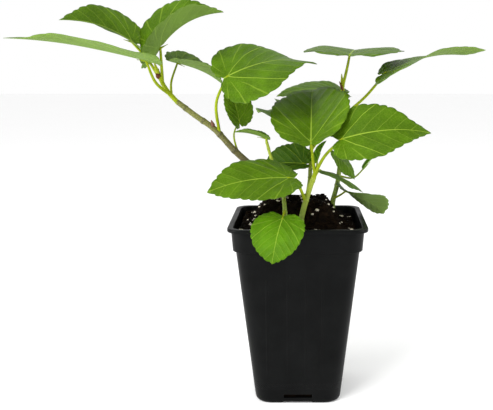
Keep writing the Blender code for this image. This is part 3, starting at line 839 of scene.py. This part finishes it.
def blade(piece, name, leaf, seed):
    """Both faces of a thin toothed leaf: rings out to the margin on top, and back in below."""
    rng = np.random.default_rng(seed)
    angle = np.linspace(-np.pi, np.pi, BLADE_SPOKES, endpoint=False)
    length = np.linalg.norm(np.subtract(leaf["tip"], leaf["base"]))
    reach = outline(leaf, angle) * length
    width = np.where(angle >= 0, leaf["width"][1], leaf["width"][0])
    edge = np.stack([reach * np.sin(angle) * width, reach * np.cos(angle)], axis=1)
    run = np.r_[0, np.cumsum(np.linalg.norm(np.diff(edge, axis=0), axis=1))]
    run = (run - run[BLADE_SPOKES // 2]) / run[-1] * TEETH
    run = run + 0.16 * np.sin(run * 1.9 + seed)
    depth = TOOTH_DEPTH * min(length / 40, 1.1) / np.maximum(np.hypot(*edge.T), 1)
    fade = np.clip((np.pi - np.abs(angle)) / 0.5, 0, 1)
    notch = 1 - depth * fade * (1 - np.abs(np.sin(np.pi * (run + 0.5))) ** 0.7)
    ring = (np.linspace(0.05, 1, BLADE_RINGS) ** 0.85)[:, None]
    shape = 1 - (1 - notch) * ring**6
    x = ring * edge[:, 0] * shape
    y = ring * edge[:, 1] * shape
    points, normal = bend(leaf, x.ravel(), y.ravel())
    phase = rng.uniform(0, 6.28)
    sway = np.sin(6 * angle + phase) + 0.5 * np.sin(11 * angle - phase)
    vein = (y / length - 0.84 * np.abs(x) / length) / 0.13
    pillow = 0.10 * np.cos(2 * np.pi * vein + np.pi) * np.clip(np.abs(x) / length * 9, 0, 1)
    lift = 0.011 * length * ring**3 * sway * fade + pillow * (1 - ring**8)
    points += normal * lift.ravel()[:, None]
    points = points.reshape(BLADE_RINGS, BLADE_SPOKES, 3)
    normal = normal.reshape(points.shape)
    thick = normal * LEAF_SHEET / 2 * (1 - 0.5 * ring**8)[:, :, None]
    grid = np.concatenate([points + thick, (points - thick)[::-1]])
    flat = np.stack([x / length, y / length], axis=-1)
    flat = np.concatenate([flat, flat[::-1]])
    place = np.concatenate([flat, np.full((*flat.shape[:2], 1), rng.uniform(0, 9))], axis=2)
    back = np.r_[np.zeros(BLADE_RINGS), np.ones(BLADE_RINGS)]
    kind = np.repeat(back[:, None], BLADE_SPOKES, axis=1)
    tint = np.array(TINTS[LOOK.get(name, "mid")]) * rng.uniform(0.9, 1.12)
    lower = flat.copy()
    lower[..., 0] = (flat[..., 0] * 0.48 + 0.25) + 0.5 * kind
    lower[..., 1] = flat[..., 1] * 0.75 + 0.22
    piece.shell(grid[:, ::-1], tint, place[:, ::-1], kind, lower[:, ::-1])


def grown_leaves(twig, count):
    """Leaves dealt round the rear half of the twig by the golden angle, with a seeded spread."""
    rng = np.random.default_rng(GROWTH_SEED)
    made = {}
    for i in range(count):
        share = 0.25 + 0.75 * i / (count - 1)
        turn = ((i * GOLDEN_ANGLE) % 360) / 360 * 2 - 1
        heading = np.radians(REAR_MIDDLE + REAR_SPREAD * turn)
        away = np.array([np.cos(heading), np.sin(heading), 0])
        length = rng.uniform(*GROWN_LENGTH)
        stalk = rng.uniform(*GROWN_STALK)
        foot = smooth_path(twig, 21)[int(share * 20)]
        base = foot + away * stalk + np.array([0, 0, 0.35 * stalk])
        tip = base + away * length + np.array([0, 0, rng.uniform(*GROWN_DROOP)])
        via = (foot + base) / 2 + np.array([0, 0, 0.08 * stalk])
        leaf = dict(LEAF, base=base, tip=tip, arch=0.08, hook=0.06)
        made[f"rear_{i + 1}"] = (leaf, share, via)
    return made


def stalk(piece, leaf, foot, via, seed):
    """A stalk from inside its carrier to just under the blade, grooved and a little swollen at its foot."""
    axis = unit(np.subtract(leaf["tip"], leaf["base"]))
    start = foot - unit(np.subtract(via, foot)) * 0.8
    line = smooth_path([start, foot, via, leaf["base"]], 60)
    line = np.vstack([line, np.array(leaf["base"]) + axis * np.linspace(0.4, 5, 10)[:, None]])
    drop = np.linspace(0, 1, 10)[:, None] * np.array([0, 0, -0.25])
    line[-10:] += drop
    share = np.linspace(0, 1, len(line))
    radii = STALK[0] + (STALK[1] - STALK[0]) * share
    radii = radii * (1 + 0.3 * np.exp(-share / 0.04)) * np.clip((1 - share) / 0.14, 0.25, 1)
    length = np.linalg.norm(np.subtract(leaf["tip"], leaf["base"]))
    radii = radii * np.clip(length / 40, 0.62, 1)
    piece.shell(tube(line, radii, 16, 0.03, seed, 0.05), STALK_TINT, (0, 0, 0), 2.0)


def make_mass(name, mass, material):
    """One mass: its twig, its stalks and its blades in one joined piece."""
    piece = Joined(name + "_leaves")
    limb = SHOOTS[mass["limb"]]
    leaves = {key: (dict(LEAF, **LEAVES[key]), *at) for key, at in mass["leaves"].items()}
    if "twig" in mass:
        start = np.array(mass["twig"][0]) - unit(np.subtract(mass["twig"][1], mass["twig"][0])) * 1.2
        line = smooth_path([start] + mass["twig"], 80)
        radii = np.linspace(*mass["radius"], 80)
        piece.shell(tube(line, radii, 24, 0.05, 5, 0.03), STALK_TINT, (0, 0, 0), 2.0)
        line = smooth_path(mass["twig"], 21)
        leaves.update(grown_leaves(mass["twig"], mass["grown"]) if "grown" in mass else {})
    else:
        line = shoot_line(limb, 61)
    for i, (key, (leaf, share, via)) in enumerate(leaves.items()):
        foot = line[int(round(share * (len(line) - 1)))]
        stalk(piece, leaf, foot, via, i)
        blade(piece, key, leaf, 17 * i + len(key))
    add_buds(piece, name)
    piece.finish(name, material)


class Nodes:
    """A node tree with each node's inputs given by name, as a value or as another node's output."""

    def __init__(self, tree):
        self.tree = tree

    def add(self, kind, inputs=None, **settings):
        node = self.tree.nodes.new(kind)
        for key, value in settings.items():
            setattr(node, key, value)
        for key, value in (inputs or {}).items():
            if isinstance(value, bpy.types.NodeSocket):
                self.tree.links.new(value, node.inputs[key])
            else:
                node.inputs[key].default_value = value
        return node

    def maths(self, operation, *values):
        return self.add("ShaderNodeMath", dict(enumerate(values)), operation=operation).outputs[0]

    def ramp(self, value, low, high, start=0.0, end=1.0):
        """The value moved smoothly from one range to another."""
        node = self.add("ShaderNodeMapRange", interpolation_type="SMOOTHSTEP")
        self.tree.links.new(value, node.inputs["Value"])
        for key, number in zip(("From Min", "From Max", "To Min", "To Max"), (low, high, start, end)):
            if isinstance(number, bpy.types.NodeSocket):
                self.tree.links.new(number, node.inputs[key])
            else:
                node.inputs[key].default_value = number
        return node.outputs["Result"]

    def mix(self, share, first, second, blend="MIX"):
        node = self.add("ShaderNodeMix", data_type="RGBA", blend_type=blend)
        for i, value in ((0, share), (6, first), (7, second)):
            if isinstance(value, bpy.types.NodeSocket):
                self.tree.links.new(value, node.inputs[i])
            else:
                node.inputs[i].default_value = value
        return node.outputs[2]

    def noise(self, vector, scale, detail=4.0, rough=0.6):
        inputs = {"Vector": vector, "Scale": scale, "Detail": detail, "Roughness": rough}
        return self.add("ShaderNodeTexNoise", inputs).outputs["Fac"]

    def attribute(self, name, output):
        return self.add("ShaderNodeAttribute", attribute_name=name).outputs[output]


def new_group(name, inputs, outputs):
    """An empty shader node group with those sockets, and its two end nodes."""
    tree = bpy.data.node_groups.new(name, "ShaderNodeTree")
    for label, kind in inputs:
        tree.interface.new_socket(label, in_out="INPUT", socket_type=kind)
    for label, kind in outputs:
        tree.interface.new_socket(label, in_out="OUTPUT", socket_type=kind)
    return Nodes(tree), tree.nodes.new("NodeGroupInput"), tree.nodes.new("NodeGroupOutput")


def vein_group():
    """Masks of a leaf's veins from its own flat place: midrib, curved side veins, low side veins and net."""
    made, start, end = new_group(
        "leaf_veins",
        [("Place", "NodeSocketVector")],
        [("Veins", "NodeSocketFloat"), ("Net", "NodeSocketFloat"), ("Relief", "NodeSocketFloat")],
    )
    split = made.add("ShaderNodeSeparateXYZ", {"Vector": start.outputs["Place"]})
    sway = made.maths("SUBTRACT", made.noise(start.outputs["Place"], 5.0, 2.0), 0.5)
    warp = made.maths("MULTIPLY", sway, 0.035)
    x = made.maths("ABSOLUTE", split.outputs["X"])
    y = made.maths("ADD", split.outputs["Y"], warp)
    thin = made.ramp(split.outputs["Y"], 0.0, 1.0, 0.012, 0.004)
    midrib = made.ramp(x, made.maths("MULTIPLY", thin, 0.4), thin, 1.0, 0.0)
    slant = made.maths("SUBTRACT", y, made.maths("MULTIPLY", x, VEIN_SLOPE))
    slant = made.maths("SUBTRACT", slant, made.maths("MULTIPLY", made.maths("MULTIPLY", x, x), 0.6))
    step = made.maths("DIVIDE", slant, VEIN_STEP)
    off = made.maths("SUBTRACT", made.maths("FRACT", made.maths("ADD", step, 0.5)), 0.5)
    off = made.maths("ABSOLUTE", off)
    width = made.ramp(step, 0.4, 0.7, 0.042, 0.026)
    above = made.ramp(step, -0.5, -0.4)
    side = made.maths("MULTIPLY", made.ramp(off, made.maths("MULTIPLY", width, 0.35), width, 1.0, 0.0), above)
    turn = made.maths("DIVIDE", made.maths("ARCTAN2", x, y), LOW_VEIN_TURN)
    low_off = made.maths("ABSOLUTE", made.maths("SUBTRACT", made.maths("FRACT", turn), 0.5))
    low = made.maths("MULTIPLY", made.ramp(low_off, 0.02, 0.06, 1.0, 0.0), made.maths("SUBTRACT", 1.0, above))
    side = made.maths("MULTIPLY", side, made.ramp(step, 0.4, 0.7, 1.0, 0.5))
    veins = made.maths("MAXIMUM", midrib, made.maths("MAXIMUM", side, made.maths("MULTIPLY", low, 0.4)))
    at = {"Vector": start.outputs["Place"], "Scale": NET_SCALE}
    cells = made.add("ShaderNodeTexVoronoi", at, feature="DISTANCE_TO_EDGE")
    net = made.ramp(cells.outputs["Distance"], 0.02, 0.12, 1.0, 0.0)
    pillow = made.ramp(off, 0.0, 0.4)
    relief = made.maths("SUBTRACT", made.maths("MULTIPLY", pillow, 0.8), made.maths("MULTIPLY", veins, 0.6))
    relief = made.maths("SUBTRACT", relief, made.maths("MULTIPLY", net, 0.22))
    made.tree.links.new(veins, end.inputs["Veins"])
    made.tree.links.new(net, end.inputs["Net"])
    made.tree.links.new(relief, end.inputs["Relief"])
    return made.tree


def material(name, build):
    """A material whose look is built round its own Principled shader."""
    made = bpy.data.materials.new(name)
    made.use_nodes = True
    nodes = Nodes(made.node_tree)
    shader = made.node_tree.nodes["Principled BSDF"]
    build(nodes, shader)
    return made


def leaf_look(nodes, shader):
    """Plain tint, mottled, with paler veins; a paler duller back; stalks and buds in their own tint."""
    link = nodes.tree.links.new
    place = nodes.attribute("place", "Vector")
    kind = nodes.attribute("kind", "Fac")
    tint = nodes.attribute("tint", "Color")
    group = nodes.add("ShaderNodeGroup", node_tree=vein_group())
    link(place, group.inputs["Place"])
    where = nodes.add("ShaderNodeTexCoord").outputs["Object"]
    is_stalk = nodes.ramp(kind, 1.4, 1.6)
    is_blade = nodes.maths("SUBTRACT", 1.0, is_stalk)
    is_back = nodes.maths("MULTIPLY", nodes.ramp(kind, 0.4, 0.6), is_blade)
    mottle = nodes.noise(where, 90.0, 5.0)
    dark = nodes.mix(nodes.ramp(mottle, 0.35, 0.7), (0.78, 0.78, 0.72, 1), (1.16, 1.12, 1.2, 1))
    colour = nodes.mix(1.0, tint, dark, "MULTIPLY")
    veined = nodes.mix(0.55, tint, (0.40, 0.54, 0.06, 1))
    veins = nodes.maths("MULTIPLY", group.outputs["Veins"], is_blade)
    net = nodes.maths("MULTIPLY", group.outputs["Net"], is_blade)
    colour = nodes.mix(nodes.maths("MULTIPLY", net, 0.10), colour, veined)
    colour = nodes.mix(nodes.maths("MULTIPLY", veins, 0.85), colour, veined)
    pale = nodes.mix(0.36, colour, (0.26, 0.38, 0.10, 1))
    colour = nodes.mix(is_back, colour, pale)
    link(colour, shader.inputs["Base Color"])
    rough = nodes.maths("ADD", nodes.maths("MULTIPLY", mottle, 0.12), 0.36)
    link(nodes.maths("ADD", rough, nodes.maths("MULTIPLY", is_back, 0.22)), shader.inputs["Roughness"])
    sign = nodes.maths("SUBTRACT", 1.0, nodes.maths("MULTIPLY", is_back, 1.7))
    height = nodes.maths("MULTIPLY", nodes.maths("MULTIPLY", group.outputs["Relief"], is_blade), sign)
    height = nodes.maths("ADD", height, nodes.maths("MULTIPLY", nodes.noise(where, 2600.0, 2.0), 0.12))
    bump = nodes.add("ShaderNodeBump", {"Height": height, "Strength": 0.55, "Distance": 0.0005})
    link(bump.outputs["Normal"], shader.inputs["Normal"])
    shader.inputs["Specular IOR Level"].default_value = 0.06


def bark_look(nodes, shader):
    """Tint by place, streaked along the shoot, with small pale pores."""
    link = nodes.tree.links.new
    where = nodes.add("ShaderNodeTexCoord").outputs["Object"]
    place = nodes.attribute("place", "Vector")
    stretch = nodes.add("ShaderNodeVectorMath", {0: place, 1: STREAK_STRETCH}, operation="MULTIPLY")
    streak = nodes.noise(stretch.outputs[0], 1.6, 5.0)
    fine = nodes.noise(where, 1500.0, 4.0)
    shade = nodes.mix(nodes.ramp(streak, 0.3, 0.7), (0.62, 0.6, 0.55, 1), (1.35, 1.3, 1.25, 1))
    colour = nodes.mix(1.0, nodes.attribute("tint", "Color"), shade, "MULTIPLY")
    cells = nodes.add("ShaderNodeTexVoronoi", {"Vector": where, "Scale": 480.0})
    pore = nodes.maths("MULTIPLY", nodes.ramp(cells.outputs["Distance"], 0.12, 0.2, 1.0, 0.0), 0.5)
    colour = nodes.mix(pore, colour, (0.34, 0.27, 0.15, 1))
    link(colour, shader.inputs["Base Color"])
    link(nodes.ramp(fine, 0.2, 0.8, 0.48, 0.72), shader.inputs["Roughness"])
    height = nodes.maths("ADD", nodes.maths("ADD", streak, nodes.maths("MULTIPLY", fine, 0.5)), pore)
    bump = nodes.add("ShaderNodeBump", {"Height": height, "Strength": 0.5, "Distance": 0.0003})
    link(bump.outputs["Normal"], shader.inputs["Normal"])


def soil_look(nodes, shader):
    """Near-black crumbs with brown fibres, and dry pale grains."""
    link = nodes.tree.links.new
    where = nodes.add("ShaderNodeTexCoord").outputs["Object"]
    coarse = nodes.noise(where, 380.0, 6.0, 0.7)
    fine = nodes.noise(where, 2400.0, 4.0, 0.7)
    shade = nodes.mix(nodes.ramp(coarse, 0.35, 0.72), (0.5, 0.5, 0.5, 1), (2.1, 1.8, 1.5, 1))
    colour = nodes.mix(1.0, nodes.attribute("tint", "Color"), shade, "MULTIPLY")
    pale = nodes.mix(nodes.ramp(fine, 0.3, 0.7), (0.42, 0.36, 0.27, 1), (0.74, 0.69, 0.58, 1))
    colour = nodes.mix(nodes.ramp(nodes.attribute("kind", "Fac"), 0.4, 0.6), colour, pale)
    link(colour, shader.inputs["Base Color"])
    link(nodes.ramp(coarse, 0.3, 0.7, 0.7, 0.98), shader.inputs["Roughness"])
    height = nodes.maths("ADD", coarse, nodes.maths("MULTIPLY", fine, 0.6))
    bump = nodes.add("ShaderNodeBump", {"Height": height, "Strength": 0.9, "Distance": 0.0007})
    link(bump.outputs["Normal"], shader.inputs["Normal"])
    shader.inputs["Specular IOR Level"].default_value = 0.02


def pot_look(nodes, shader):
    """Satin black plastic: fine grain, faint moulding ribs, a patterned band low down, a little dust."""
    link = nodes.tree.links.new
    where = nodes.add("ShaderNodeTexCoord").outputs["Object"]
    axes = nodes.add("ShaderNodeSeparateXYZ", {"Vector": where}).outputs
    facing = nodes.add("ShaderNodeNewGeometry").outputs["True Normal"]
    normal = nodes.add("ShaderNodeSeparateXYZ", {"Vector": facing})
    faces_front = nodes.ramp(nodes.maths("ABSOLUTE", normal.outputs["Y"]), 0.6, 0.75)
    along = nodes.add("ShaderNodeMix", {0: faces_front, 2: axes["Y"], 3: axes["X"]}, data_type="FLOAT")
    along = along.outputs[0]
    ribs = None
    for rib in RIBS:
        away = nodes.maths("ABSOLUTE", nodes.maths("SUBTRACT", along, rib * MM))
        one = nodes.ramp(away, 0.0002, 0.0008, 1.0, 0.0)
        ribs = one if ribs is None else nodes.maths("MAXIMUM", ribs, one)
    rib_top = nodes.ramp(axes["Z"], 0.06, 0.085, 1.0, 0.0)
    span = nodes.maths("MULTIPLY", nodes.ramp(axes["Z"], 0.016, 0.022), rib_top)
    ribs = nodes.maths("MULTIPLY", ribs, span)
    band_top = nodes.ramp(axes["Z"], 0.0125, 0.013, 1.0, 0.0)
    band = nodes.maths("MULTIPLY", nodes.ramp(axes["Z"], 0.0085, 0.009), band_top)
    stripes = nodes.maths("SINE", nodes.maths("MULTIPLY", nodes.maths("ADD", along, axes["Z"]), BAND_PITCH))
    band = nodes.maths("MULTIPLY", band, nodes.ramp(stripes, -0.2, 0.4))
    grain = nodes.noise(where, 3200.0, 2.0)
    cloud = nodes.noise(where, 55.0, 4.0)
    specks = nodes.ramp(nodes.noise(where, 700.0, 5.0, 0.75), 0.62, 0.78)
    dust = nodes.maths("MULTIPLY", specks, nodes.ramp(cloud, 0.45, 0.7))
    colour = nodes.mix(nodes.ramp(cloud, 0.3, 0.7), (0.0016, 0.0018, 0.0018, 1), (0.0035, 0.0038, 0.0038, 1))
    colour = nodes.mix(nodes.maths("MULTIPLY", dust, 0.25), colour, (0.11, 0.095, 0.075, 1))
    link(colour, shader.inputs["Base Color"])
    rough = nodes.maths("ADD", nodes.ramp(cloud, 0.3, 0.7, 0.34, 0.44), nodes.maths("MULTIPLY", dust, 0.25))
    link(rough, shader.inputs["Roughness"])
    height = nodes.maths("ADD", nodes.maths("MULTIPLY", ribs, 1.0), nodes.maths("MULTIPLY", band, 0.5))
    height = nodes.maths("ADD", height, nodes.maths("MULTIPLY", grain, 0.06))
    bump = nodes.add("ShaderNodeBump", {"Height": height, "Strength": 0.6, "Distance": 0.0005})
    link(bump.outputs["Normal"], shader.inputs["Normal"])
    shader.inputs["Specular IOR Level"].default_value = 0.07


def floor_look(nodes, shader):
    """Matt white paper."""
    where = nodes.add("ShaderNodeTexCoord").outputs["Object"]
    colour = nodes.mix(nodes.noise(where, 3.0), (0.94, 0.94, 0.94, 1), (0.96, 0.96, 0.96, 1))
    nodes.tree.links.new(colour, shader.inputs["Base Color"])
    shader.inputs["Roughness"].default_value = 0.9


def light(name, place, aim, size, power):
    """A soft square light turned to the point it is aimed at."""
    data = bpy.data.lights.new(name, "AREA")
    data.size = size
    data.energy = power
    made = bpy.data.objects.new(name, data)
    made.location = place
    way = Vector(aim) - Vector(place)
    made.rotation_euler = way.to_track_quat("-Z", "Y").to_euler()
    bpy.context.scene.collection.objects.link(made)


def set_stage():
    """White floor, even white surroundings, three soft lights and the fitted camera."""
    bpy.ops.mesh.primitive_plane_add(size=FLOOR_SIZE)
    floor = bpy.context.object
    floor.name = "floor"
    floor.data.materials.append(material("floor", floor_look))
    world = bpy.data.worlds.new("surroundings")
    world.use_nodes = True
    world.node_tree.nodes["Background"].inputs["Color"].default_value = (1, 1, 1, 1)
    world.node_tree.nodes["Background"].inputs["Strength"].default_value = 1.0
    bpy.context.scene.world = world
    for name, at in LIGHTS.items():
        light(name, *at)
    data = bpy.data.cameras.new("camera")
    data.sensor_width = SENSOR_WIDTH
    data.lens = LENS
    data.shift_x = SHIFT_X
    camera = bpy.data.objects.new("camera", data)
    camera.location = CAMERA_PLACE
    camera.rotation_euler = (np.radians(CAMERA_TILT), 0, 0)
    bpy.context.scene.collection.objects.link(camera)
    bpy.context.scene.camera = camera
    bpy.context.scene.view_settings.view_transform = "Standard"


def main():
    leaf = material("leaf", leaf_look)
    bark = material("bark", bark_look)
    make_pot(material("pot_plastic", pot_look))
    make_soil(material("soil_mix", soil_look))
    for name, shoot in SHOOTS.items():
        make_shoot(name, shoot, bark)
    for name, mass in MASSES.items():
        make_mass(name, mass, leaf)
    set_stage()


main()
